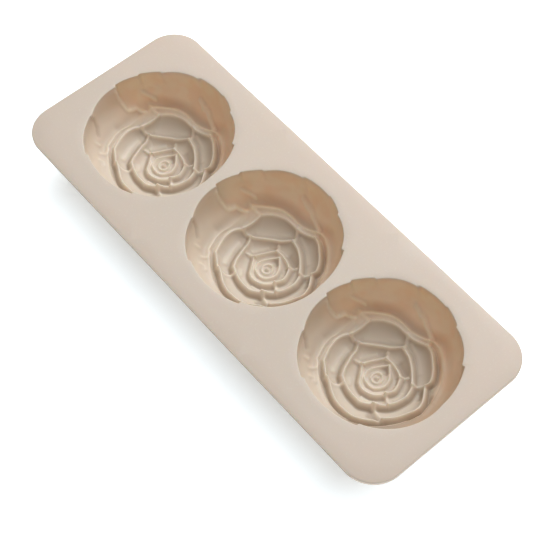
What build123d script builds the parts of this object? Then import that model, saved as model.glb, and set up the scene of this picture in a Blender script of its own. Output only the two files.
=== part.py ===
"""Soap mould cast in one piece of silicone: a flat deck and three rose-shaped cups.

Millimetres, +Z up. The origin is the middle of the footprint, on the plane that the cups
stand on. The casting is written out as regions that meet face to face, so that every cup
stays open: the deck, and for each cup its wall and its rose floor.
"""

from build123d import *
from math import cos, radians, sin
import os

# Driving dimensions
LENGTH = 260.0
WIDTH = 102.0
HEIGHT = 32.0
CORNER_RADIUS = 16.5
DECK_THICKNESS = 2.5
DECK_EDGE_ROUND = 0.6
CUP_SPACING = 81.0
MOUTH_RADIUS = 38.2
CUP_OUTER_RADIUS = 40.2
FOOT_RADIUS = 24.0
SPLIT_HEIGHT = 12.5

CUP_NAMES = ["left", "middle", "right"]
DECK_UNDERSIDE = HEIGHT - DECK_THICKNESS

# The wall of a cup is made of outer petals. Each one is a round bowl, a little smaller than
# the mouth and shifted towards its own side, so the petals meet in shallow notches.
WALL_PETAL_ANGLES = [10.0, 62.0, 96.0, 128.0, 167.0, 215.0, 262.0, 315.0]
WALL_PETAL_SHIFT = 5.0

# The bowl inside the wall: inset from the mouth radius, and height.
BOWL_PROFILE = [(8.4, SPLIT_HEIGHT), (4.0, 15.4), (1.0, 20.5), (0.0, 26.0), (0.0, HEIGHT + 1.0)]

# The outside of a cup: radius and height, from the flat foot up to the deck.
OUTER_PROFILE = [
    (FOOT_RADIUS, 0.0),
    (28.3, 4.5),
    (33.0, 9.8),
    (37.2, 14.6),
    (39.6, 20.0),
    (CUP_OUTER_RADIUS, DECK_UNDERSIDE),
]

# The floor outside the last ring of petals: radius and height.
CENTRE_HEIGHT = 2.6
OUTER_FLOOR = [(0.0, CENTRE_HEIGHT), (19.0, 4.6), (26.0, 8.6), (MOUTH_RADIUS - 6.0, SPLIT_HEIGHT + 1.0)]

# The rose is a stack of dished petals. A ring's dish rises from the middle of the cup to
# (radius, height) at the foot of the ring inside it, and on to its own crest.
RING_DISH = {
    "outer": [(16.5, 5.0), (25.5, 11.3)],
    "pentagon": [(9.8, 3.8), (16.0, 7.3)],
    "inner": [(5.2, 3.1), (9.5, 5.2)],
    "bud": [(1.5, 2.9), (5.2, 4.2)],
}

# Each petal: how far it is raised or sunk against its neighbours, its crest in plan
# counter-clockwise, and whether that crest closes on itself. Rings run from the outside in.
PETALS = {
    "outer": [
        (0.0, [(19.0, 12.0), (24.0, 6.5), (25.6, 0.0), (22.5, -9.0), (17.5, -15.0)], False),
        (-0.7, [(-21.0, -15.0), (-11.0, -20.5), (0.0, -24.7), (10.0, -23.7), (19.0, -13.0)], False),
        (0.5, [(-23.0, 4.0), (-25.2, -3.0), (-23.8, -9.5), (-21.0, -15.0)], False),
        (-0.3, [(-5.5, 24.0), (-15.5, 22.0), (-22.3, 15.5), (-22.8, 4.0)], False),
        (0.4, [(19.0, 13.5), (14.0, 21.0), (5.8, 26.0), (-5.5, 24.0)], False),
    ],
    "pentagon": [
        (0.0, [(8.8, -11.2), (2.3, -14.9), (-4.5, -14.4), (-10.0, -12.4)], False),
        (0.0, [(-10.0, -12.4), (-14.0, -5.3), (-17.5, 4.6)], False),
        (-0.3, [(-17.5, 4.6), (-10.0, 11.7), (-2.5, 18.5)], False),
        (0.3, [(14.5, 8.5), (5.8, 15.8), (-2.5, 18.5)], False),
        (0.5, [(8.8, -11.2), (15.0, -5.5), (16.5, 1.5), (14.5, 8.5)], False),
    ],
    "inner": [
        (
            0.0,
            [(9.6, 3.0), (6.0, 8.4), (-4.5, 9.6), (-9.0, -0.3), (-4.0, -7.2), (3.0, -8.3), (8.0, -3.5)],
            True,
        ),
    ],
    "bud": [
        (
            0.0,
            [(5.3, 0.0), (2.8, 5.3), (-0.8, 8.6), (-4.2, 3.4), (-4.8, -3.0), (0.0, -5.1), (4.4, -2.8)],
            True,
        ),
    ],
}
PETAL_BASE = 1.5
PETAL_OVERRUN = 5.0


def revolved(profile):
    """A solid of revolution about Z under a (radius, height) outline that starts on Z."""
    outline = Polyline([*profile, profile[0]])
    return revolve(Plane.XZ * make_face(outline), Axis.Z)


def cup_blank():
    """The cup with no hollow in it, from its foot to the underside of the deck."""
    side = Spline(OUTER_PROFILE, tangents=[(1.0, 1.0), (0.0, 1.0)])
    inside = Polyline([OUTER_PROFILE[-1], (0.0, DECK_UNDERSIDE), (0.0, 0.0), OUTER_PROFILE[0]])
    return revolve(Plane.XZ * make_face([side, inside]), Axis.Z)


def wall_cavity():
    """The hollow inside the outer petals, from the split up past the deck."""
    top = BOWL_PROFILE[-1][1]
    petal_radius = MOUTH_RADIUS - WALL_PETAL_SHIFT
    profile = [(0.0, SPLIT_HEIGHT)] + [(petal_radius - inset, height) for inset, height in BOWL_PROFILE]
    petal = revolved(profile + [(0.0, top)])
    cavity = petal
    for angle in WALL_PETAL_ANGLES:
        shift_x = WALL_PETAL_SHIFT * cos(radians(angle))
        shift_y = WALL_PETAL_SHIFT * sin(radians(angle))
        cavity = cavity + Pos(shift_x, shift_y, 0.0) * petal
    return cavity


def petal_face(crest, closed):
    """The plan of a petal: a ring closed on itself, or a slice from the centre to its crest."""
    if closed:
        return make_face(Spline(crest, periodic=True))
    sides = Polyline([crest[-1], (0.0, 0.0), crest[0]])
    return make_face([Spline(crest), sides])


def petal_solid(ring, lift, crest, closed):
    """One dished petal, standing on the floor and ending at its crest."""
    (foot_radius, foot), (crest_radius, rim) = RING_DISH[ring]
    slope = (rim - foot) / (crest_radius - foot_radius)
    reach = crest_radius + PETAL_OVERRUN
    dish = revolved([
        (0.0, PETAL_BASE),
        (reach, PETAL_BASE),
        (reach, rim + slope * (reach - crest_radius) + lift),
        (foot_radius, foot + lift),
        (0.0, CENTRE_HEIGHT),
    ])
    return extrude(petal_face(crest, closed), HEIGHT) & dish


def rose_floor(blank):
    """The bottom of a cup, with the rose standing in it."""
    below_split = Pos(0.0, 0.0, SPLIT_HEIGHT / 2.0) * Box(2 * WIDTH, 2 * WIDTH, SPLIT_HEIGHT)
    floor = blank - revolved(OUTER_FLOOR + [(0.0, OUTER_FLOOR[-1][1])])
    for ring, petals in PETALS.items():
        for lift, crest, closed in petals:
            floor = floor + petal_solid(ring, lift, crest, closed)
    return floor & below_split


def cup_wall(blank, cavity):
    """The side of a cup, from the split up to the underside of the deck."""
    above_split = Pos(0.0, 0.0, SPLIT_HEIGHT + HEIGHT / 2.0) * Box(2 * WIDTH, 2 * WIDTH, HEIGHT)
    return (blank & above_split) - cavity


def deck(cavity):
    """The flat top plate, open over every cup."""
    outline = RectangleRounded(LENGTH, WIDTH, CORNER_RADIUS)
    plate = extrude(Pos(0.0, 0.0, DECK_UNDERSIDE) * outline, DECK_THICKNESS)
    plate = fillet(plate.faces().sort_by(Axis.Z)[-1].edges(), DECK_EDGE_ROUND)
    for position in cup_positions():
        plate = plate - Pos(position, 0.0, 0.0) * cavity
    return plate


def cup_positions():
    """Where the cups stand along the deck."""
    return [CUP_SPACING * (index - 1) for index in range(len(CUP_NAMES))]


def write_part(shape, name):
    """One region in its own file, named after it."""
    export_step(shape, f"parts/{name}.step")


os.makedirs("parts", exist_ok=True)
blank = cup_blank()
cavity = wall_cavity()
wall = cup_wall(blank, cavity)
floor = rose_floor(blank)
write_part(deck(cavity), "deck")
for name, position in zip(CUP_NAMES, cup_positions()):
    write_part(Pos(position, 0.0, 0.0) * wall, f"cup_wall_{name}")
    write_part(Pos(position, 0.0, 0.0) * floor, f"rose_floor_{name}")
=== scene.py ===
"""Silicone soap mould with three rose cups: its skin, material, floor, lights and camera.

The whole mould is one closed skin, because the real one is a single casting. Sizes are in
millimetres, measured from the deck's top plane, and the skin is scaled to metres at the end.

A cup is drawn on its unrolled bowl: a point (u, v) lies at the distance hypot(u, v) along
the bowl from its middle, in the direction of u along the row and v across it.
"""

import math

import bmesh
import bpy
import numpy as np
from mathutils import Matrix, Vector


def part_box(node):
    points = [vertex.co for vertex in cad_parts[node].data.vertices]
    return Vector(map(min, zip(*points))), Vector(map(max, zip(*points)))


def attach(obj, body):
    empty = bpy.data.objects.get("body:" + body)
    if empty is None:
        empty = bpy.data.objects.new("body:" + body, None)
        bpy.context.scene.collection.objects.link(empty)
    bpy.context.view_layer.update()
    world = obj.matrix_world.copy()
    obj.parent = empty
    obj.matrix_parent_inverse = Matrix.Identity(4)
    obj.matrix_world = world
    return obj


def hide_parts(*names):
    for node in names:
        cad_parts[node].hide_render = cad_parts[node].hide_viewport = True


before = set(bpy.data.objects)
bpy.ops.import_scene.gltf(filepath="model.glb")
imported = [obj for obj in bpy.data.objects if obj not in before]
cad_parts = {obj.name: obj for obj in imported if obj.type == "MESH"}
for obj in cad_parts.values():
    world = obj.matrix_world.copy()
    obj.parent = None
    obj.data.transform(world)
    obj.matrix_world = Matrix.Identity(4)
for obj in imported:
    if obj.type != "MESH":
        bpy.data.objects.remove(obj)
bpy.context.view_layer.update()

MM = 0.001
CUP_NAMES = ["left", "middle", "right"]

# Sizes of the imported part, in millimetres.
DECK_LOW, DECK_HIGH = (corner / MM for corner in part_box("deck"))
LENGTH = DECK_HIGH.x - DECK_LOW.x
WIDTH = DECK_HIGH.y - DECK_LOW.y
HEIGHT = DECK_HIGH.z
DECK_THICKNESS = DECK_HIGH.z - DECK_LOW.z
WALL_BOXES = [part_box(f"cup_wall_{name}") for name in CUP_NAMES]
CUP_CENTRES = [(low.x + high.x) / 2.0 / MM for low, high in WALL_BOXES]
CUP_SPACING = CUP_CENTRES[1] - CUP_CENTRES[0]
CUP_OUTER_RADIUS = (WALL_BOXES[0][1].y - WALL_BOXES[0][0].y) / 2.0 / MM

# How far the rose lies off the middle of each cup, along and across the row, and the distances
# along the bowl between which this shift dies out, because the wall isn't shifted.
ROSE_SHIFTS = [(0.0, -0.2), (1.3, -0.2), (-0.6, 0.2)]
SHIFT_FADE = (24.0, 40.0)

# Rounding of the deck's corners in plan, of its edge, and of the lips of the cups.
CORNER_RADIUS = 16.5
DECK_EDGE_ROUND = 0.7
MOUTH_EDGE_ROUND = 0.55

# The deck's slight waviness, which is nothing at a cup and full this far out from it.
WAVE_HEIGHT = 0.22
RIPPLE_HEIGHT = 0.12
WAVE_CLEARANCE = 10.0

# The bowl: radius and depth below the deck, from its middle to its mouth.
BOWL_PROFILE = [
    (0.0, 28.8), (8.0, 28.1), (16.0, 25.6), (24.0, 22.2), (30.0, 19.7),
    (34.5, 16.6), (37.3, 11.5), (38.1, 6.0), (38.0, 0.0),
]
BOWL_MOUTH_RADIUS = BOWL_PROFILE[-1][0]

# The outside of a cup: radius and height above the foot.
OUTER_PROFILE = [
    (24.0, 0.0), (28.3, 4.5), (33.0, 9.8), (37.2, 14.6), (39.6, 20.0),
    (CUP_OUTER_RADIUS, HEIGHT - DECK_THICKNESS),
]

# Every crest of the rose is a small bead. Petal ends on the wall have a larger one, which they
# reach between two distances along the bowl.
CREST_BEAD = 0.5
CREST_HALF_WIDTH = 0.95
WALL_BEAD_GAIN = 0.8
WALL_BEAD_RISE = (28.0, 34.0)

# The grooves outside the crests, where shade is painted: how far out, half their width, and the
# depth of a full one, which gets all of that painted shade.
GROOVE_OUT = 1.4
GROOVE_HALF_WIDTH = 0.9
DEEP_DROP = 3.2

# A petal falls away from the crest inside it between two distances, and rises from a third.
FALL_START = 0.1
FALL_END = 1.9
RISE_START = 1.2

# How deep each ring of petals drops behind the crest inside it, from the core outwards.
RING_DROPS = (1.1, 1.6, 2.6, 3.4)

# A band of petals narrower than these has a smaller bead and a shallower groove.
FULL_BEAD_WIDTH = 5.0
FULL_DROP_WIDTH = 4.0
LEAST_BEAD_SCALE = 0.15

# The tip of the bud, and the groove round it with how far it leans outwards and how much shade is
# painted in it.
TIP_HEIGHT = 0.7
TIP_HALF_WIDTH = 1.1
TIP_GROOVE_DEPTH = 0.7
TIP_GROOVE_LEAN = 1.3
TIP_GROOVE_SHADE = 0.2

# Spokes of the mesh round a cup. The underside keeps one in COARSER of them.
SPOKES = 288
COARSER = 4
ANGLES = np.arange(SPOKES) * 2.0 * math.pi / SPOKES

# Loops of the mesh: distances past a crest and short of the next one, loops between those for
# each ring and for the band outside them, shares of the tip's radius, loops up the wall and how
# they crowd towards its foot, and shares of the way across the deck, its underside and the foot
# of a cup.
ROWS_PAST_CREST = (0.0, 0.35, 0.7, 1.05, 1.45, 1.95)
ROWS_SHORT_OF_CREST = (1.3, 0.8, 0.4)
RING_ROWS = (1, 3, 5, 6)
OUTSIDE_ROWS = 4
TIP_ROWS = (0.12, 0.28, 0.44, 0.6, 0.75, 0.9)
WALL_ROWS = 25
WALL_ROW_CROWDING = 1.3
DECK_ROWS = (0.2, 0.6, 1.0)
UNDERSIDE_ROWS = (0.75, 0.35, 0.0)
FOOT_ROWS = (0.93, 0.6, 0.25)

# Lengths too small to tell apart: of a direction, between points in millimetres, and between
# points to be welded in metres.
NO_LENGTH = 1e-9
SAME_PLACE = 1e-6
WELD_DISTANCE = 2e-6

# Crests of the rose, ring by ring, as the petals of each ring counter-clockwise.
CORE_RING = [
    [(0.9, 2.9), (-1.6, 2.2), (-2.4, 0.0), (-1.5, -2.1), (0.5, -2.6), (2.3, -1.2), (2.4, 1.0),
     (0.9, 2.9)],
]
BUD_RING = [
    [(-0.9, 9.0), (-3.7, 4.2), (-5.0, 1.6), (-5.5, -1.1), (-4.6, -3.6), (-3.2, -4.7), (0.0, -5.3),
     (2.9, -4.7), (4.7, -2.6), (5.5, 0.0), (4.7, 3.2), (2.9, 5.5), (-0.9, 9.0)],
]
INNER_RING = [
    [(7.6, 8.0), (5.3, 9.1), (2.4, 9.9), (-1.6, 10.3), (-4.5, 9.9)],
    [(-4.5, 9.9), (-6.3, 6.8), (-8.4, 2.6), (-9.5, -0.3)],
    [(-9.5, -0.3), (-7.4, -2.9), (-5.3, -5.5), (-3.4, -7.9), (-0.5, -9.1), (2.4, -8.7),
     (5.3, -7.4), (7.1, -5.3), (8.4, -3.0)],
    [(8.4, -3.0), (9.7, -1.1), (10.4, 1.1), (10.0, 3.2), (8.9, 5.8), (7.6, 8.0)],
]
MIDDLE_RING = [
    [(15.1, 8.8), (9.6, 13.8), (6.0, 16.5), (2.4, 18.3), (-2.6, 19.4)],
    [(-2.6, 19.4), (-6.7, 14.9), (-10.4, 12.2), (-14.0, 9.0), (-18.3, 4.9)],
    [(-18.3, 4.9), (-16.3, 1.3), (-15.4, -2.4), (-13.1, -8.7), (-10.8, -12.6)],
    [(-10.8, -12.6), (-6.7, -14.2), (-2.2, -15.3), (2.4, -15.5), (5.5, -15.1), (9.2, -11.7)],
    [(9.2, -11.7), (12.8, -8.7), (14.5, -6.8), (16.2, -3.7), (17.4, 2.2), (16.5, 5.8), (15.1, 8.8)],
]
OUTER_RING = [
    [(20.2, 12.2), (20.6, 15.8), (18.0, 20.0), (14.4, 23.4), (9.9, 26.8), (6.2, 28.0)],
    [(6.2, 28.0), (-1.0, 25.6), (-5.5, 25.1)],
    [(-5.5, 25.1), (-12.0, 24.7), (-16.3, 23.0), (-20.0, 20.3), (-23.3, 16.5)],
    [(-23.3, 16.5), (-23.2, 10.0), (-24.0, 4.0)],
    [(-24.0, 4.0), (-25.8, 0.5), (-26.3, -3.3), (-25.4, -7.8), (-23.5, -12.4), (-21.8, -15.7)],
    [(-21.8, -15.7), (-14.9, -20.1), (-10.8, -21.5), (-6.7, -23.7), (-2.2, -25.4), (2.4, -25.8),
     (9.0, -25.0), (15.2, -20.8), (20.0, -14.2)],
    [(20.0, -14.2), (23.3, -9.6), (25.5, -4.0), (26.9, 0.0), (26.8, 3.0), (25.1, 6.7), (20.2, 12.2)],
]
WALL_FOOT_RING = [
    [(31.0, 0.0), (29.0, 10.0), (25.5, 18.0), (19.0, 26.0), (12.0, 30.5), (6.8, 31.0)],
    [(6.8, 31.0), (0.0, 28.2), (-5.5, 26.9), (-10.0, 26.9), (-15.2, 26.2), (-19.4, 24.4),
     (-24.2, 20.4), (-29.0, 15.4)],
    [(-29.0, 15.4), (-28.6, 8.0), (-27.9, 0.0), (-28.2, -5.8), (-27.5, -10.2), (-26.0, -14.0),
     (-24.2, -18.0)],
    [(-24.2, -18.0), (-19.8, -21.6), (-12.6, -26.2), (-6.0, -29.0), (0.5, -30.2), (7.0, -29.6),
     (14.0, -26.5), (20.5, -21.5), (26.0, -14.0), (29.5, -6.0), (31.0, 0.0)],
]

# Depth of the hollows outside the outer ring and at the foot of the wall, and how sharp the edge
# of that foot is, by angle in degrees round a cup.
OUTER_HOLLOW = [
    (0.0, 3.6), (55.0, 3.6), (75.0, 2.0), (92.0, 0.5), (150.0, 0.7), (180.0, 1.0), (215.0, 1.8),
    (235.0, 3.8), (300.0, 3.4), (360.0, 3.6),
]
FOOT_HOLLOW = [
    (0.0, 0.6), (60.0, 0.8), (85.0, 1.6), (140.0, 1.9), (155.0, 1.0), (175.0, 0.2), (190.0, 0.3),
    (215.0, 0.9), (250.0, 0.3), (300.0, 0.2), (360.0, 0.6),
]
FOOT_EDGE = [
    (0.0, 0.0), (70.0, 0.0), (80.0, 1.0), (150.0, 1.0), (157.0, 0.05), (178.0, 0.05), (188.0, 0.8),
    (215.0, 0.9), (240.0, 0.2), (260.0, 0.0), (360.0, 0.0),
]

# Tints given by angle in degrees round a cup. They are painted light and shade that stand in for
# the photograph's own light, because the studio lights alone don't make each side of a cup as warm
# and as dark: the share of the warm glow painted on the wall, the share of the full shade painted
# in a groove, and painted shade laid over the petals near their crests and over the wall.
PAINTED_GLOW_SHARE = [
    (0.0, 0.9), (30.0, 1.0), (165.0, 1.0), (180.0, 0.5), (200.0, 0.15), (280.0, 0.1), (320.0, 0.4),
    (360.0, 0.9),
]
GROOVE_SHADE_SHARE = [
    (0.0, 1.0), (50.0, 0.8), (90.0, 0.25), (150.0, 0.3), (190.0, 0.7), (230.0, 1.0), (300.0, 1.0),
    (360.0, 1.0),
]
PETAL_SHADE = [
    (0.0, 0.25), (20.0, 0.5), (60.0, 0.6), (110.0, 0.6), (150.0, 0.35), (180.0, 0.1), (270.0, 0.0),
    (330.0, 0.05), (360.0, 0.25),
]
WALL_SHADE = [
    (0.0, 0.85), (15.0, 0.7), (35.0, 0.3), (55.0, 0.0), (250.0, 0.0), (265.0, 0.1), (290.0, 0.8),
    (320.0, 1.0), (360.0, 0.85),
]

# Where those painted tints begin and end: the share of a petal's rise, and distances along the
# bowl. From the last two distances up to the mouth, the glow painted on the wall fades by the share
# given below, and the rose's colour fades out completely.
PETAL_SHADE_RISE = (0.2, 0.85)
WALL_SHADE_FADE = (50.0, 56.0)
PAINTED_GLOW_RISE = (24.0, 34.0)
PAINTED_GLOW_FADE = 0.4
PAINTED_GLOW_FADE_START = 51.0
ROSE_FADE_START = 48.0

# How much of the crests' painted highlight the lips of the cups have, and the edge along the deck's
# near long side, and how wide a strip in plan counts as that side. Below that edge its rim has the
# full painted shade of a groove, another painted tint.
LIP_MARK = 0.6
NEAR_EDGE_MARK = 0.8
NEAR_SIDE_STRIP = 0.5

# The outermost petals, which make the wall and the notched mouth: first and last angle in
# degrees, and the mouth radius at the start, the middle and the end.
MOUTH_PETALS = [
    (4.0, 38.0, 37.3, 37.7, 38.2),
    (38.0, 69.0, 36.8, 37.6, 36.9),
    (69.0, 86.0, 37.6, 38.4, 39.0),
    (86.0, 110.0, 38.4, 38.8, 39.2),
    (110.0, 141.0, 38.2, 38.8, 37.6),
    (141.0, 158.0, 38.4, 38.7, 39.1),
    (158.0, 178.0, 38.1, 38.4, 38.6),
    (178.0, 212.0, 37.3, 37.4, 36.1),
    (212.0, 250.0, 36.7, 37.6, 37.9),
    (250.0, 302.0, 36.8, 37.1, 38.1),
    (302.0, 364.0, 36.9, 38.3, 37.3),
]
# How far a wall petal leans round the cup on its way down: distance along the bowl, degrees.
WALL_TWIST = [(32.0, 24.0), (34.0, 15.0), (37.0, 8.0), (42.0, 3.5), (47.0, 2.0), (54.5, 0.0)]
# How much of the notched shape is left at the foot of the wall, and where it grows to all of it.
FOOT_HOLD = 0.15
HOLD_RISE = (40.0, 54.0)
# Where the hollow at the foot of the wall begins and ends, as distances from the foot.
FOOT_HOLLOW_RISE = (0.3, 1.8)
FOOT_HOLLOW_FALL = (2.5, 8.0)

# Ends of petals that overlap a neighbour: step height, how far it fades, and a path whose
# left side is the raised one.
PETAL_ENDS = [
    (1.3, 4.0, [(15.1, 8.8), (20.2, 12.2)]),
    (0.9, 4.0, [(-5.5, 25.1), (-2.6, 19.4)]),
    (1.4, 4.0, [(-24.0, 4.0), (-20.8, 3.9), (-18.3, 4.9)]),
    (1.2, 4.0, [(-8.2, -14.8), (-10.0, -17.8), (-14.5, -20.0)]),
    (1.4, 4.0, [(9.2, -11.7), (13.7, -13.4), (19.0, -15.5)]),
    (1.3, 3.0, [(8.3, -2.8), (11.5, -5.0), (14.4, -6.9)]),
    (0.9, 2.5, [(-6.3, 12.1), (-4.4, 9.9)]),
    (0.8, 2.5, [(7.7, 8.1), (10.0, 10.0)]),
    (1.0, 2.5, [(-12.5, -2.0), (-9.5, -0.4)]),
    (1.7, 9.0, [(-28.8, 11.8), (-32.0, 9.5), (-34.2, 8.6), (-34.6, 6.0), (-35.6, 3.8), (-38.8, 3.2),
                (-44.2, 2.2), (-51.5, 1.2)]),
    (1.0, 4.0, [(-23.3, 16.5), (-27.0, 15.8), (-30.0, 15.4)]),
    (0.8, 4.0, [(-30.8, 20.0), (-39.0, 16.6)]),
    (1.2, 5.0, [(6.2, 28.5), (5.0, 31.8), (2.0, 33.0), (-2.0, 34.8), (-4.8, 36.8), (-8.5, 37.2),
                (-12.8, 38.8)]),
]
# Half the width of such a step, how far its bead and its gap lie from it, and how much shade is
# painted in the gap. The bead also gets the crests' painted highlight.
STEP_HALF_WIDTH = 0.35
STEP_BEAD_OUT = 0.4
STEP_GAP_OUT = 0.7
STEP_GAP_SHADE = 0.6

# Folds and hollows in the petals: height, half width and path.
FOLDS = [
    (0.8, 1.2, [(-18.9, -1.0), (-18.0, -7.0), (-15.0, -13.5)]),
    (0.5, 1.1, [(-1.0, 23.0), (5.0, 21.0), (12.0, 15.8)]),
    (0.4, 1.0, [(-18.0, 9.0), (-12.0, 15.0), (-6.5, 20.0)]),
    (0.4, 0.5, [(13.4, 3.2), (13.9, -0.5), (13.3, -2.0)]),
    (0.5, 0.6, [(-8.0, -9.0), (-5.5, -11.6)]),
    (0.6, 0.7, [(-12.2, 1.0), (-11.0, 4.0), (-8.8, 8.2)]),
    (-0.5, 0.7, [(6.5, 6.5), (8.4, 4.2)]),
    (-0.9, 1.2, [(-0.5, 6.2), (1.4, 5.0)]),
    (0.9, 1.6, [(-8.0, 36.2), (-7.0, 36.2)]),
    (-0.5, 2.6, [(-30.5, -7.0), (-31.5, 0.0), (-31.5, 5.0), (-30.5, 8.0)]),
    (0.4, 0.7, [(-41.0, 17.0), (-39.5, 21.0), (-35.0, 25.5)]),
    (-0.8, 1.5, [(26.6, 10.0), (28.7, 1.5), (27.4, -6.0)]),
    (-0.8, 1.6, [(10.0, -27.0), (16.6, -22.6), (21.6, -15.6)]),
    (0.6, 0.9, [(-28.5, -24.0), (-26.8, -22.0)]),
    (0.6, 0.8, [(-22.6, -24.4), (-21.0, -22.0), (-22.4, -18.5)]),
    (0.6, 0.8, [(-20.0, -27.8), (-17.5, -26.2), (-15.4, -27.2)]),
    (-0.7, 1.2, [(-42.4, -23.8), (-40.0, -20.3), (-36.2, -18.8), (-31.6, -20.0)]),
    (0.5, 0.8, [(-29.6, 11.8), (-32.6, 10.3), (-35.0, 9.2), (-35.6, 6.4), (-36.2, 4.6), (-38.9, 4.0),
                (-44.2, 3.0)]),
    (0.4, 0.6, [(-6.5, -3.8), (-4.0, -6.6), (0.0, -7.4), (4.0, -6.2), (7.0, -3.0)]),
    (0.6, 0.6, [(2.0, -11.4), (6.0, -10.4), (9.2, -7.8)]),
    (0.6, 0.6, [(3.5, -13.6), (8.0, -12.0), (11.2, -9.4)]),
    (0.7, 2.0, [(26.0, 34.0), (27.0, 34.0)]),
    (-1.2, 1.8, [(11.5, -15.6), (15.0, -15.2), (18.5, -16.3)]),
    (-1.0, 1.6, [(19.6, 8.6), (21.5, 6.2)]),
    (-0.8, 1.5, [(2.0, 12.6), (8.0, 11.0)]),
]
# How much shade is painted in a hollow for its depth. Raised folds get the crests' painted highlight.
FOLD_GAP_SHADE = 2.0

# Colours of the silicone: on the deck, in its faint clouds and specks and in the roses; then the
# warm glow painted on the cups' walls and its warmer patches, the shade painted in the grooves, and
# the highlight painted on the crests.
DECK_COLOUR = (0.74, 0.64, 0.54)
CLOUD_COLOUR = (0.76, 0.65, 0.55)
SPECKLE_COLOUR = (0.80, 0.72, 0.62)
ROSE_COLOUR = (0.77, 0.67, 0.555)
WALL_GLOW_COLOUR = (0.94, 0.74, 0.54)
WALL_GLOW_PATCH_COLOUR = (0.92, 0.68, 0.47)
GROOVE_SHADE_COLOUR = (0.42, 0.32, 0.235)
WALL_GROOVE_SHADE_COLOUR = (0.50, 0.345, 0.23)
CREST_HIGHLIGHT_COLOUR = (0.97, 0.87, 0.74)
WALL_CREST_HIGHLIGHT_COLOUR = (1.0, 0.81, 0.59)

# The floor and its own faint light: half its side in metres, then in millimetres how far the
# middle of the dim patch beside the mould, a painted shadow, lies off the row, how far its box
# stays inside the deck at the ends and sides, and the distances from that box at which the light
# starts and stops growing, and how strong it is there.
FLOOR_HALF_SIDE = 30.0
DIM_MIDDLE_ACROSS = -8.0
DIM_INSIDE_END = 30.0
DIM_INSIDE_SIDE = 25.0
GLOW_REACH = (10.0, 27.0)
GLOW_STRENGTH = (0.3, 0.8)

# The disc lights, all aimed at the origin: name, diameter in metres, watts and place in metres.
LIGHTS = [
    ("key", 0.6, 4.5, (-0.24, 0.80, 0.80)),
    ("top", 1.2, 6.0, (-0.28, 0.60, 1.05)),
    ("fill", 0.8, 0.9, (0.75, -0.30, 0.90)),
]
LIGHT_COLOUR = (0.95, 0.98, 1.0)

# The camera: direction from its target and roll in degrees, target, distance and focal length.
CAMERA_AZIMUTH = -39.25
CAMERA_ELEVATION = 59.51
CAMERA_ROLL = -1.5
CAMERA_TARGET = (19.4, -10.0, HEIGHT)
CAMERA_DISTANCE = 638.9
FOCAL_LENGTH = 89.6
SENSOR_WIDTH = 36.0


def smooth_step(value, low, high):
    """0 below low, 1 above high, and a smooth ramp between."""
    share = np.clip((value - low) / (high - low), 0.0, 1.0)
    return share * share * (3.0 - 2.0 * share)


def smooth_through(points, steps=10):
    """Points along a smooth open curve through the given ones."""
    knots = np.array(points, float)
    before = 2.0 * knots[0] - knots[1]
    after = 2.0 * knots[-1] - knots[-2]
    padded = np.vstack([before, knots, after])
    share = np.linspace(0.0, 1.0, steps, endpoint=False)[:, None]
    curve = []
    for a, b, c, d in zip(padded, padded[1:], padded[2:], padded[3:]):
        bend = (2 * a - 5 * b + 4 * c - d) * share**2 + (3 * b - 3 * c + d - a) * share**3
        curve.append(b + 0.5 * ((c - a) * share + bend))
    curve.append(knots[-1:])
    return np.vstack(curve)


def ring_radius(petals):
    """How far out a ring of petals lies on each spoke."""
    crest = np.vstack([smooth_through(petal) for petal in petals])
    angle = np.arctan2(crest[:, 1], crest[:, 0]) % (2.0 * math.pi)
    order = np.argsort(angle)
    return np.interp(ANGLES, angle[order], np.hypot(*crest.T)[order], period=2.0 * math.pi)


def mouth_radius(degrees):
    """Radius of the notched mouth in a direction."""
    radius = np.zeros_like(degrees)
    for first, last, start, middle, end in MOUTH_PETALS:
        turned = (degrees - first) % 360.0
        inside = turned < last - first
        share = turned / (last - first)
        bend = middle - (start + end) / 2.0
        arc = start + (end - start) * share + 4.0 * bend * share * (1.0 - share)
        radius = np.where(inside, arc, radius)
    return radius


def bowl_table():
    """Distance along the bowl, radius, height and unit normal, finely sampled."""
    curve = smooth_through([(radius, -depth) for radius, depth in BOWL_PROFILE], 40)
    run = np.hypot(*np.diff(curve, axis=0).T)
    distance = np.concatenate([[0.0], np.cumsum(run)])
    tangent = np.gradient(curve, distance, axis=0)
    tangent[0] = (1.0, 0.0)
    tangent /= np.hypot(*tangent.T)[:, None]
    return distance, curve, tangent


BOWL_DISTANCE, BOWL_CURVE, BOWL_TANGENT = bowl_table()
BOWL_LENGTH = BOWL_DISTANCE[-1]


def on_bowl(distance, raised):
    """Radius and height of a point at a distance along the bowl, raised off it."""
    radius, height, along_r, along_z = (
        np.interp(distance, BOWL_DISTANCE, column)
        for column in np.hstack([BOWL_CURVE, BOWL_TANGENT]).T
    )
    return radius - along_z * raised, height + along_r * raised


def by_angle(table):
    """A value for each spoke, from a list of angles and values."""
    return np.interp(np.degrees(ANGLES), *np.array(table).T)


def crest_bead(out):
    """The rounded bead of the mould along a crest, at a distance from it."""
    return CREST_BEAD * np.exp(-((out / CREST_HALF_WIDTH) ** 2))


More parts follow.
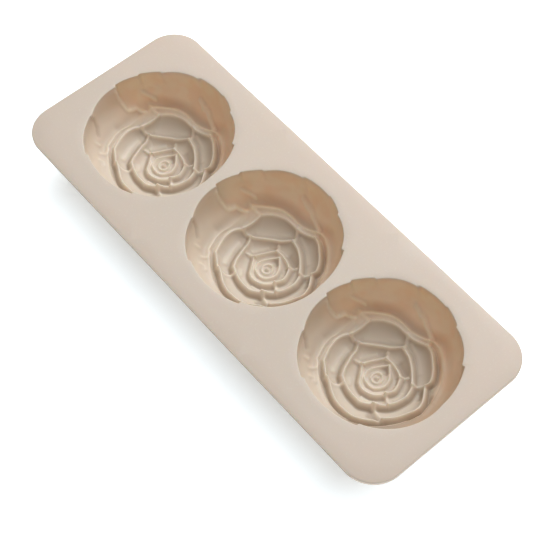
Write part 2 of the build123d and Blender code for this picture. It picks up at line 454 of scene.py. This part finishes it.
def petal_band(inner, outer, drop, steps, crested=1.0):
    """The band between two rings of crests: a steep step down, then a dished petal rising.

    Returns distances along the bowl, raised heights and how much painted shade it has, in its groove
    and where the petal rises to its outer crest, one row per loop of the mesh. The inner crest itself
    is the first row, and the outer crest belongs to the next band. crested is how much of a crest
    that outer one is.
    """
    width = outer - inner
    scale = np.clip(width / FULL_BEAD_WIDTH, LEAST_BEAD_SCALE, 1.0)
    near = np.array(ROWS_PAST_CREST)[:, None] * scale
    far = np.array(ROWS_SHORT_OF_CREST)[:, None] * scale
    share = (np.arange(steps) + 0.7)[:, None] / (steps + 0.4)
    middle = near[-1] + share * (width - near[-1] - far[0])
    out = np.vstack([near, middle, width - far])
    low = -drop * np.clip(width / FULL_DROP_WIDTH, 0.0, 1.0)
    fall = 1.0 - smooth_step(out, FALL_START * scale, FALL_END * scale)
    rise = np.clip((out - RISE_START * scale) / (width - RISE_START * scale), 0.0, 1.0)
    steep = 0.25 * rise + 0.75 * rise**3
    gentle = rise * rise * (3.0 - 2.0 * rise)
    dish = gentle + (steep - gentle) * crested
    beads = scale * (crest_bead(out) + crested * crest_bead(width - out))
    raised = low * (1.0 - fall - dish) + beads
    # Painted shade: in the groove past the inner crest, and on the petal where it rises to its outer
    # crest, by the shares given for each angle round the cup.
    groove = np.exp(-(((out / scale - GROOVE_OUT) / GROOVE_HALF_WIDTH) ** 2)) * -low / DEEP_DROP
    groove *= by_angle(GROOVE_SHADE_SHARE)
    shade = crested * by_angle(PETAL_SHADE) * smooth_step(rise, *PETAL_SHADE_RISE) * scale
    return inner + out, raised, np.maximum(groove, shade)


def core_band(outer):
    """The tip of the bud, inside its innermost ring."""
    share = np.array(TIP_ROWS)[:, None]
    tip = TIP_HEIGHT * np.exp(-((share * outer / TIP_HALF_WIDTH) ** 2))
    groove = np.sin(math.pi * share**TIP_GROOVE_LEAN) ** 2 + 0.0 * outer
    # The last value is the shade painted in the groove round the tip.
    return share * outer, tip - TIP_GROOVE_DEPTH * groove, TIP_GROOVE_SHADE * groove


def wall_band(inner):
    """The wall above its foot ring, following the petals that notch the mouth."""
    share = np.linspace(0.0, 1.0, WALL_ROWS)[:, None] ** WALL_ROW_CROWDING
    distance = inner + share * (BOWL_LENGTH - MOUTH_EDGE_ROUND - inner)
    twist = np.interp(distance, *np.array(WALL_TWIST).T)
    petal = mouth_radius(np.degrees(ANGLES) + twist) - BOWL_MOUTH_RADIUS
    hold = FOOT_HOLD + (1.0 - FOOT_HOLD) * smooth_step(distance, *HOLD_RISE)
    out = distance - inner
    hollow_shape = smooth_step(out, *FOOT_HOLLOW_RISE) * (1.0 - smooth_step(out, *FOOT_HOLLOW_FALL))
    hollow = by_angle(FOOT_HOLLOW) * hollow_shape
    shade = by_angle(WALL_SHADE) * (1.0 - smooth_step(distance, *WALL_SHADE_FADE))
    raised = by_angle(FOOT_EDGE) * crest_bead(out) - hollow - petal * hold
    # The last value is painted shade: in the hollow at the foot of the wall, and on the wall by the
    # shares given for each angle round the cup.
    return distance, raised, np.maximum(hollow / DEEP_DROP, shade)


def cup_rows():
    """Every loop of the cup's inside, from the middle out.

    Returns distances along the bowl, raised heights, how near to a crest, which sets the painted
    highlight, and how much painted shade.
    """
    rings = [ring_radius(ring) for ring in (CORE_RING, BUD_RING, INNER_RING, MIDDLE_RING, OUTER_RING)]
    foot = ring_radius(WALL_FOOT_RING)
    bands = [core_band(rings[0])]
    for inner, outer, drop, rows in zip(rings, rings[1:], RING_DROPS, RING_ROWS):
        bands.append(petal_band(inner, outer, drop, rows))
    foot_edge = by_angle(FOOT_EDGE)
    bands.append(petal_band(rings[-1], foot, by_angle(OUTER_HOLLOW), OUTSIDE_ROWS, foot_edge))
    bands.append(wall_band(foot))
    distance = np.vstack([band[0] for band in bands])
    raised = np.vstack([band[1] for band in bands])
    groove = np.vstack([band[2] for band in bands])
    ends, edges, gaps = details(distance)
    near_crest = [crest_bead(distance - ring) / CREST_BEAD for ring in rings]
    near_foot = foot_edge * crest_bead(distance - foot) / CREST_BEAD
    crest = np.clip(np.sum(near_crest, axis=0) + near_foot + edges, 0.0, 1.0)
    return distance, raised + ends, crest, np.clip(groove + gaps, 0.0, 1.0)


def path_offset(path, u, v):
    """Signed distance from a path, positive on its left, and how far past its ends."""
    best = np.full(u.shape, np.inf)
    side = np.zeros(u.shape)
    past = np.zeros(u.shape)
    last = len(path) - 2
    for index, (start, end) in enumerate(zip(path, path[1:])):
        run = math.dist(start, end)
        along_u, along_v = (end[0] - start[0]) / run, (end[1] - start[1]) / run
        du, dv = u - start[0], v - start[1]
        along = du * along_u + dv * along_v
        across = along_u * dv - along_v * du
        over = np.maximum(along - run, 0.0) + np.maximum(-along, 0.0)
        gap = np.hypot(across, over)
        nearer = gap < best
        best = np.where(nearer, gap, best)
        side = np.where(nearer, np.sign(across), side)
        before = np.maximum(-along, 0.0) if index == 0 else 0.0
        after = np.maximum(along - run, 0.0) if index == last else 0.0
        past = np.where(nearer, before + after, past)
    return best * side, past


def details(distance):
    """Height of the petal ends, folds and hollows of a cup, and where their edges run, which get a
    painted highlight, and their gaps and hollows, which get painted shade.
    """
    u = distance * np.cos(ANGLES)
    v = distance * np.sin(ANGLES)
    wall_bead = 1.0 + WALL_BEAD_GAIN * smooth_step(distance, *WALL_BEAD_RISE)
    raised = np.zeros_like(distance)
    edges = np.zeros_like(distance)
    gaps = np.zeros_like(distance)
    for height, reach, path in PETAL_ENDS:
        offset, past = path_offset(path, u, v)
        fade = np.exp(-np.abs(offset) / reach) * np.exp(-(past**2))
        raised += height * np.tanh(offset / STEP_HALF_WIDTH) * fade / 2.0
        edge = np.exp(-((offset - STEP_BEAD_OUT) / CREST_HALF_WIDTH) ** 2 - past**2)
        raised += CREST_BEAD * wall_bead * edge
        edges += wall_bead * edge
        gap = np.exp(-((offset + STEP_GAP_OUT) / GROOVE_HALF_WIDTH) ** 2 - past**2)
        gaps += STEP_GAP_SHADE * height / DEEP_DROP * gap
    for height, width, path in FOLDS:
        offset, past = path_offset(path, u, v)
        fold = height * np.exp(-((offset / width) ** 2) - (past / width) ** 2)
        raised += fold
        edges += np.maximum(fold, 0.0)
        gaps += np.maximum(-fold, 0.0) * FOLD_GAP_SHADE / DEEP_DROP
    return raised, edges, gaps


def deck_outline(centre, inset):
    """Where the spokes of a cup meet the edge of its share of the deck, as x and y."""
    half_length = LENGTH / 2.0 - inset
    half_width = WIDTH / 2.0 - inset
    corner = CORNER_RADIUS - inset
    low = centre - CUP_SPACING / 2.0 if centre > LENGTH / -2.0 + CUP_SPACING else -half_length
    high = centre + CUP_SPACING / 2.0 if centre < LENGTH / 2.0 - CUP_SPACING else half_length
    along, across = np.cos(ANGLES), np.sin(ANGLES)
    with np.errstate(divide="ignore"):
        to_end = np.where(along > 0, (high - centre) / along, (low - centre) / along)
        to_side = half_width / np.abs(across)
    to_end = np.where(np.abs(along) < NO_LENGTH, np.inf, to_end)
    to_side = np.where(np.abs(across) < NO_LENGTH, np.inf, to_side)
    reach = np.minimum(to_end, to_side)
    x = centre + along * reach
    y = across * reach
    flat_half_width = WIDTH / 2.0 - DECK_EDGE_ROUND
    for end in (low, high):
        for side in (-half_width, half_width):
            if abs(end) < half_length - SAME_PLACE:
                corner_angle = math.atan2(math.copysign(flat_half_width, side), end - centre)
                nearest = round(corner_angle / (2.0 * math.pi) * SPOKES) % SPOKES
                x[nearest], y[nearest] = end, side
                continue
            pivot = np.array([end - math.copysign(corner, end), side - math.copysign(corner, side)])
            beyond = ((x - pivot[0]) * end > 0) & ((y - pivot[1]) * side > 0)
            offset = np.array([centre, 0.0]) - pivot
            half_b = along * offset[0] + across * offset[1]
            root = np.sqrt(np.maximum(half_b**2 - offset @ offset + corner**2, 0.0))
            x = np.where(beyond, centre + along * (root - half_b), x)
            y = np.where(beyond, across * (root - half_b), y)
    return x, y


def deck_wave(x, y):
    """The slight waviness of the flexible deck, which dies out towards the cups."""
    from_cup = np.min([np.hypot(x - centre, y) for centre in CUP_CENTRES], axis=0)
    wave = WAVE_HEIGHT * np.sin(x / 31.0 + 0.8) * np.sin(y / 27.0 + 0.5)
    ripple = RIPPLE_HEIGHT * np.sin(x / 17.0 - y / 23.0)
    return (wave + ripple) * smooth_step(from_cup, CUP_OUTER_RADIUS, CUP_OUTER_RADIUS + WAVE_CLEARANCE)


def shifted(distance, shift):
    """Distances and angles on the bowl after the rose is moved, but not the wall round it."""
    share = 1.0 - smooth_step(distance, *SHIFT_FADE)
    u = distance * np.cos(ANGLES) + shift[0] * share
    v = distance * np.sin(ANGLES) + shift[1] * share
    return np.hypot(u, v), np.arctan2(v, u)


def cup_loops(centre, shift, distance, raised):
    """All loops of one cup and its share of the deck's top, from the bowl's middle out."""
    along, across = np.cos(ANGLES), np.sin(ANGLES)
    loops = []

    def add_round(radius, height):
        loops.append(np.stack([centre + radius * along, radius * across, height + 0.0 * ANGLES], 1))

    def add_outline(x, y, height):
        loops.append(np.stack([x, y, height], 1))

    for row_distance, row_raised in zip(distance, raised):
        moved, angle = shifted(row_distance, shift)
        radius, height = on_bowl(moved, row_raised)
        add_outline(centre + radius * np.cos(angle), radius * np.sin(angle), height)
    mouth = mouth_radius(np.degrees(ANGLES))
    for turn in np.radians([30.0, 60.0, 90.0]):
        lip = MOUTH_EDGE_ROUND
        add_round(mouth + lip * (1.0 - math.cos(turn)), lip * (math.sin(turn) - 1.0))
    lip_x = centre + (mouth + MOUTH_EDGE_ROUND) * along
    lip_y = (mouth + MOUTH_EDGE_ROUND) * across
    flat_x, flat_y = deck_outline(centre, DECK_EDGE_ROUND)
    for share in DECK_ROWS:
        x = lip_x + (flat_x - lip_x) * share
        y = lip_y + (flat_y - lip_y) * share
        add_outline(x, y, deck_wave(x, y))
    return loops


def under_loops(centre):
    """The underside: its first loop is the deck's edge, then come coarser ones down to the foot."""
    edge_x, edge_y = deck_outline(centre, DECK_EDGE_ROUND)
    loops = [np.stack([edge_x, edge_y, deck_wave(edge_x, edge_y) - DECK_THICKNESS], 1)]
    coarse = slice(0, SPOKES, COARSER)
    along, across = np.cos(ANGLES[coarse]), np.sin(ANGLES[coarse])
    root_x = centre + CUP_OUTER_RADIUS * along
    root_y = CUP_OUTER_RADIUS * across
    for share in UNDERSIDE_ROWS:
        x = root_x + (edge_x[coarse] - root_x) * share
        y = root_y + (edge_y[coarse] - root_y) * share
        loops.append(np.stack([x, y, deck_wave(x, y) - DECK_THICKNESS], 1))
    profile = smooth_through([(radius, height - HEIGHT) for radius, height in OUTER_PROFILE], 4)[::-1]
    foot = [(OUTER_PROFILE[0][0] * share, -HEIGHT) for share in FOOT_ROWS]
    for radius, height in [*profile[1:], *foot]:
        loops.append(np.stack([centre + radius * along, radius * across, height + 0.0 * along], 1))
    return loops


def edge_loops(centre):
    """The rounded rim of the deck, as loops from its top round to its underside."""
    radius = DECK_EDGE_ROUND
    flat_x, flat_y = deck_outline(centre, radius)
    wave = deck_wave(flat_x, flat_y)
    loops = []
    for lower, turns in (
        (0.0, (0.0, 30.0, 60.0, 90.0)),
        (DECK_THICKNESS - 2.0 * radius, (90.0, 120.0, 150.0, 180.0)),
    ):
        for turn in np.radians(turns):
            x, y = deck_outline(centre, radius * (1.0 - math.sin(turn)))
            drop = lower + radius * (1.0 - math.cos(turn))
            loops.append(np.stack([x, y, wave - drop], 1))
    return loops


def strip_faces(first, count_loops, spokes=SPOKES, joined=None):
    """Quads between neighbouring loops of the mesh, except along a stretch that is joined."""
    faces = []
    for row in range(count_loops - 1):
        here = first + row * spokes
        there = here + spokes
        for spoke in range(spokes):
            after = (spoke + 1) % spokes
            if joined is None or not (joined[spoke] and joined[after]):
                faces.append((here + spoke, there + spoke, there + after, here + after))
    return faces


def coarser_faces(fine_first, coarse_first):
    """The strip from a loop of all spokes to a loop of every COARSER-th one."""
    faces = []
    for spoke in range(SPOKES // COARSER):
        here = coarse_first + spoke
        there = coarse_first + (spoke + 1) % (SPOKES // COARSER)
        fine = [fine_first + (spoke * COARSER + step) % SPOKES for step in range(COARSER + 1)]
        half = COARSER // 2
        faces += [(here, a, b) for a, b in zip(fine[:half], fine[1:half + 1])]
        faces += [(there, a, b) for a, b in zip(fine[half:], fine[half + 1:])]
        faces.append((here, fine[half], there))
    return faces


def cup_marks(distance, crest, groove):
    """What the material reads in a cup: how near to a crest, for the painted highlight, how much
    painted shade, how much of the warm glow painted on the wall and how much of the rose's colour.
    """
    # The share of the warm glow painted on the wall: it grows along the bowl, fades near the mouth and
    # follows the share given for each angle round the cup.
    wall = smooth_step(distance, *PAINTED_GLOW_RISE)
    wall *= 1.0 - PAINTED_GLOW_FADE * smooth_step(distance, PAINTED_GLOW_FADE_START, BOWL_LENGTH)
    rose = 1.0 - smooth_step(distance, ROSE_FADE_START, BOWL_LENGTH)
    return {"crest": crest, "groove": groove, "wall": wall * by_angle(PAINTED_GLOW_SHARE), "rose": rose}


def point_marks(points, in_cup, cup_starts, rim_starts):
    """The marks of every point: those of the cups, of their lips and of the near side's rim."""
    marks = {}
    for name, values in in_cup.items():
        marks[name] = np.zeros(len(points))
        for start in cup_starts:
            marks[name][start:start + values.size] = values.ravel()
    near_side = 1.0 * (points[:, 1] < NEAR_SIDE_STRIP - WIDTH / 2.0)
    for cup_start, rim_start in zip(cup_starts, rim_starts):
        # The lips of the cups get the crests' painted highlight, and so does the top of the deck's
        # near edge.
        lip_start = cup_start + in_cup["crest"].size
        marks["crest"][lip_start:lip_start + 2 * SPOKES] = LIP_MARK
        rim_top = slice(rim_start + SPOKES, rim_start + 2 * SPOKES)
        marks["crest"][rim_top] = NEAR_EDGE_MARK * near_side[rim_top]
        # The side of the deck's near rim gets the full painted shade.
        rim_side = slice(rim_start + 3 * SPOKES, rim_start + 7 * SPOKES)
        marks["groove"][rim_side] = near_side[rim_side]
    return marks


def skin_mesh():
    """The points and faces of the whole mould, and what the material reads at each point."""
    distance, raised, crest, groove = cup_rows()
    points, faces, cup_starts, rim_starts = [], [], [], []
    total = 0
    for centre, shift in zip(CUP_CENTRES, ROSE_SHIFTS):
        top = cup_loops(centre, shift, distance, raised)
        middle = top[0].mean(axis=0, keepdims=True)
        fan_first = total + 1
        for spoke in range(SPOKES):
            faces.append((total, fan_first + spoke, fan_first + (spoke + 1) % SPOKES))
        faces += strip_faces(fan_first, len(top))
        points += [middle, *top]
        total += 1 + len(top) * SPOKES
        cup_starts.append(fan_first)

        rim = edge_loops(centre)
        rim_starts.append(total)
        joined = np.abs(np.abs(rim[0][:, 0]) - CUP_SPACING / 2.0) < SAME_PLACE
        faces += strip_faces(total, len(rim), joined=joined)
        points += rim
        total += len(rim) * SPOKES

        under = under_loops(centre)
        spokes = SPOKES // COARSER
        coarse_first = total + SPOKES
        faces += coarser_faces(total, coarse_first)
        faces += strip_faces(coarse_first, len(under) - 1, spokes)
        last = coarse_first + (len(under) - 2) * spokes
        total = last + spokes
        faces += [(last + (spoke + 1) % spokes, last + spoke, total) for spoke in range(spokes)]
        points += [*under, np.array([[centre, 0.0, -HEIGHT]])]
        total += 1
    points = np.vstack(points)
    marks = point_marks(points, cup_marks(distance, crest, groove), cup_starts, rim_starts)
    return points, faces, marks


def make_skin():
    """The mould as a Blender object, in metres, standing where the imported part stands."""
    points, faces, marks = skin_mesh()
    placed = (points + np.array([0.0, 0.0, HEIGHT])) * MM
    mesh = bpy.data.meshes.new("silicone_mould")
    mesh.from_pydata(placed.tolist(), [], faces)
    for name, values in marks.items():
        mesh.attributes.new(name, "FLOAT", "POINT").data.foreach_set("value", values)
    form = bmesh.new()
    form.from_mesh(mesh)
    bmesh.ops.remove_doubles(form, verts=form.verts, dist=WELD_DISTANCE)
    loose = [vertex for vertex in form.verts if not vertex.link_faces]
    bmesh.ops.delete(form, geom=loose, context="VERTS")
    bmesh.ops.recalc_face_normals(form, faces=form.faces)
    form.to_mesh(mesh)
    form.free()
    mesh.shade_smooth()
    skin = bpy.data.objects.new("silicone_mould", mesh)
    bpy.context.scene.collection.objects.link(skin)
    return skin


def add_node(tree, kind, inputs=(), **settings):
    """A shader node with its properties set; an input is a value or another node's output."""
    node = tree.nodes.new(kind)
    for name, value in settings.items():
        setattr(node, name, value)
    for name, value in dict(inputs).items():
        if isinstance(value, bpy.types.NodeSocket):
            tree.links.new(value, node.inputs[name])
        else:
            node.inputs[name].default_value = value
    return node


def blend_colours(tree, share, below, above):
    """A colour between two, by a share from 0 to 1."""
    blend = add_node(tree, "ShaderNodeMix", data_type="RGBA", inputs={"Factor": share})
    for slot, colour in ((6, below), (7, above)):
        if isinstance(colour, bpy.types.NodeSocket):
            tree.links.new(colour, blend.inputs[slot])
        else:
            blend.inputs[slot].default_value = (*colour, 1.0)
    return blend.outputs[2]


def remap(tree, value, low, high, to_low, to_high):
    """A value stretched from one range to another, and held within it."""
    ranges = {"From Min": low, "From Max": high, "To Min": to_low, "To Max": to_high}
    return add_node(tree, "ShaderNodeMapRange", inputs={"Value": value, **ranges}).outputs["Result"]


def silicone_material():
    """Cream silicone: satin, faintly mottled, slightly translucent, with a painted highlight on its
    crests, painted shade in its grooves and a painted warm glow on its cups' walls.
    """
    material = bpy.data.materials.new("silicone")
    material.use_nodes = True
    tree = material.node_tree
    shader = tree.nodes["Principled BSDF"]
    place = add_node(tree, "ShaderNodeTexCoord").outputs["Object"]

    def noise(scale, detail):
        inputs = {"Vector": place, "Scale": scale, "Detail": detail, "Roughness": 0.55}
        return add_node(tree, "ShaderNodeTexNoise", inputs=inputs).outputs["Fac"]

    cloud = noise(28.0, 3.0)
    glow_noise = noise(75.0, 2.0)
    speckle = noise(900.0, 2.0)
    grain = noise(3200.0, 1.0)
    # Marks kept on the mesh: crest sets the painted highlight, groove the painted shade, wall the
    # share of the painted warm glow, and rose the share of the rose's own colour.
    crest, groove, wall, rose = (
        add_node(tree, "ShaderNodeAttribute", attribute_name=name).outputs["Fac"]
        for name in ("crest", "groove", "wall", "rose")
    )

    mottled = blend_colours(tree, remap(tree, cloud, 0.3, 0.7, 0.0, 1.0), DECK_COLOUR, CLOUD_COLOUR)
    speckled = blend_colours(tree, remap(tree, speckle, 0.58, 0.75, 0.0, 0.5), mottled, SPECKLE_COLOUR)
    rosy = blend_colours(tree, rose, speckled, ROSE_COLOUR)
    # The warm glow painted on the cups' walls, in patches of two tones.
    glow_patch_share = remap(tree, glow_noise, 0.44, 0.6, 0.0, 1.0)
    glow_tone = blend_colours(tree, glow_patch_share, WALL_GLOW_COLOUR, WALL_GLOW_PATCH_COLOUR)
    with_glow = blend_colours(tree, wall, rosy, glow_tone)
    # Shade painted in the grooves, gaps and hollows, warmer where the glow is painted.
    groove_shade_colour = blend_colours(tree, wall, GROOVE_SHADE_COLOUR, WALL_GROOVE_SHADE_COLOUR)
    shaded = blend_colours(tree, remap(tree, groove, 0.0, 1.0, 0.0, 0.9), with_glow, groove_shade_colour)
    # The highlight painted on the crests, edges and lips, tinted where the glow is painted.
    highlight_colour = blend_colours(tree, wall, CREST_HIGHLIGHT_COLOUR, WALL_CREST_HIGHLIGHT_COLOUR)
    highlighted = blend_colours(tree, remap(tree, crest, 0.1, 1.0, 0.0, 0.7), shaded, highlight_colour)
    tree.links.new(highlighted, shader.inputs["Base Color"])
    tree.links.new(remap(tree, cloud, 0.3, 0.7, 0.44, 0.54), shader.inputs["Roughness"])

    ripple = add_node(tree, "ShaderNodeBump", inputs={
        "Strength": 0.25, "Distance": 0.0006, "Height": cloud,
    })
    matt = add_node(tree, "ShaderNodeBump", inputs={
        "Strength": 0.12, "Distance": 0.00005, "Height": grain, "Normal": ripple.outputs["Normal"],
    })
    tree.links.new(matt.outputs["Normal"], shader.inputs["Normal"])

    shader.inputs["Subsurface Weight"].default_value = 0.14
    shader.inputs["Subsurface Radius"].default_value = (1.0, 0.5, 0.22)
    shader.inputs["Subsurface Scale"].default_value = 0.005
    return material


def studio_floor():
    """A plain white floor with a faint light of its own, dimmer beside the mould's near side, where
    that dimness is a painted shadow.
    """
    half = FLOOR_HALF_SIDE
    corners = [(-half, -half, 0), (half, -half, 0), (half, half, 0), (-half, half, 0)]
    mesh = bpy.data.meshes.new("floor")
    mesh.from_pydata(corners, [], [(0, 1, 2, 3)])
    floor = bpy.data.objects.new("floor", mesh)
    bpy.context.scene.collection.objects.link(floor)
    material = bpy.data.materials.new("floor_white")
    material.use_nodes = True
    tree = material.node_tree
    shader = tree.nodes["Principled BSDF"]
    shader.inputs["Base Color"].default_value = (0.92, 0.92, 0.93, 1.0)
    shader.inputs["Roughness"].default_value = 0.9
    shader.inputs["Emission Color"].default_value = (0.84, 0.94, 1.0, 1.0)
    tree.links.new(floor_glow(tree), shader.inputs["Emission Strength"])
    mesh.materials.append(material)


def floor_glow(tree):
    """The strength of the floor's own light, by the distance from a flat box under the mould. It is
    lower near the box, which paints a shadow there.
    """
    place = add_node(tree, "ShaderNodeTexCoord").outputs["Object"]
    middle = Vector((0.0, DIM_MIDDLE_ACROSS, 0.0)) * MM
    half_box = Vector((LENGTH / 2.0 - DIM_INSIDE_END, WIDTH / 2.0 - DIM_INSIDE_SIDE, 0.0)) * MM

    def vector_math(operation, *inputs):
        return add_node(tree, "ShaderNodeVectorMath", operation=operation, inputs=enumerate(inputs))

    offset = vector_math("SUBTRACT", place, middle).outputs["Vector"]
    size = vector_math("ABSOLUTE", offset).outputs["Vector"]
    outside = vector_math("SUBTRACT", size, half_box).outputs["Vector"]
    outside = vector_math("MAXIMUM", outside, (0.0, 0.0, 0.0)).outputs["Vector"]
    away = vector_math("LENGTH", outside).outputs["Value"]
    start, stop = GLOW_REACH
    return remap(tree, away, start * MM, stop * MM, *GLOW_STRENGTH)


def studio_light():
    """Soft light all round, and three large discs of light, two of them behind the mould."""
    world = bpy.data.worlds.new("studio")
    bpy.context.scene.world = world
    world.use_nodes = True
    background = world.node_tree.nodes["Background"]
    background.inputs["Color"].default_value = (1.0, 0.98, 0.94, 1.0)
    background.inputs["Strength"].default_value = 0.30

    for name, size, energy, place in LIGHTS:
        light = bpy.data.lights.new(name, "AREA")
        light.shape = "DISK"
        light.size = size
        light.energy = energy
        light.color = LIGHT_COLOUR
        lamp = bpy.data.objects.new(name, light)
        lamp.location = place
        lamp.rotation_euler = (-lamp.location).to_track_quat("-Z", "Y").to_euler()
        bpy.context.scene.collection.objects.link(lamp)


def place_camera():
    """The camera, above one long side and one end, turned to look down at the deck."""
    azimuth = math.radians(CAMERA_AZIMUTH)
    elevation = math.radians(CAMERA_ELEVATION)
    target = Vector(CAMERA_TARGET) * MM
    back = Vector((
        math.cos(azimuth) * math.cos(elevation),
        math.sin(azimuth) * math.cos(elevation),
        math.sin(elevation),
    ))
    right = Vector((-math.sin(azimuth), math.cos(azimuth), 0.0))
    up = back.cross(right)
    roll = Matrix.Rotation(math.radians(CAMERA_ROLL), 3, "Z")
    turn = Matrix((right, up, back)).transposed() @ roll
    camera = bpy.data.cameras.new("camera")
    camera.sensor_width = SENSOR_WIDTH
    camera.lens = FOCAL_LENGTH
    eye = bpy.data.objects.new("camera", camera)
    eye.matrix_world = Matrix.Translation(target + back * CAMERA_DISTANCE * MM) @ turn.to_4x4()
    bpy.context.scene.collection.objects.link(eye)
    bpy.context.scene.camera = eye


place_camera()
studio_floor()
studio_light()
bpy.context.scene.view_settings.view_transform = "Standard"
skin = make_skin()
skin.data.materials.append(silicone_material())
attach(skin, "root")
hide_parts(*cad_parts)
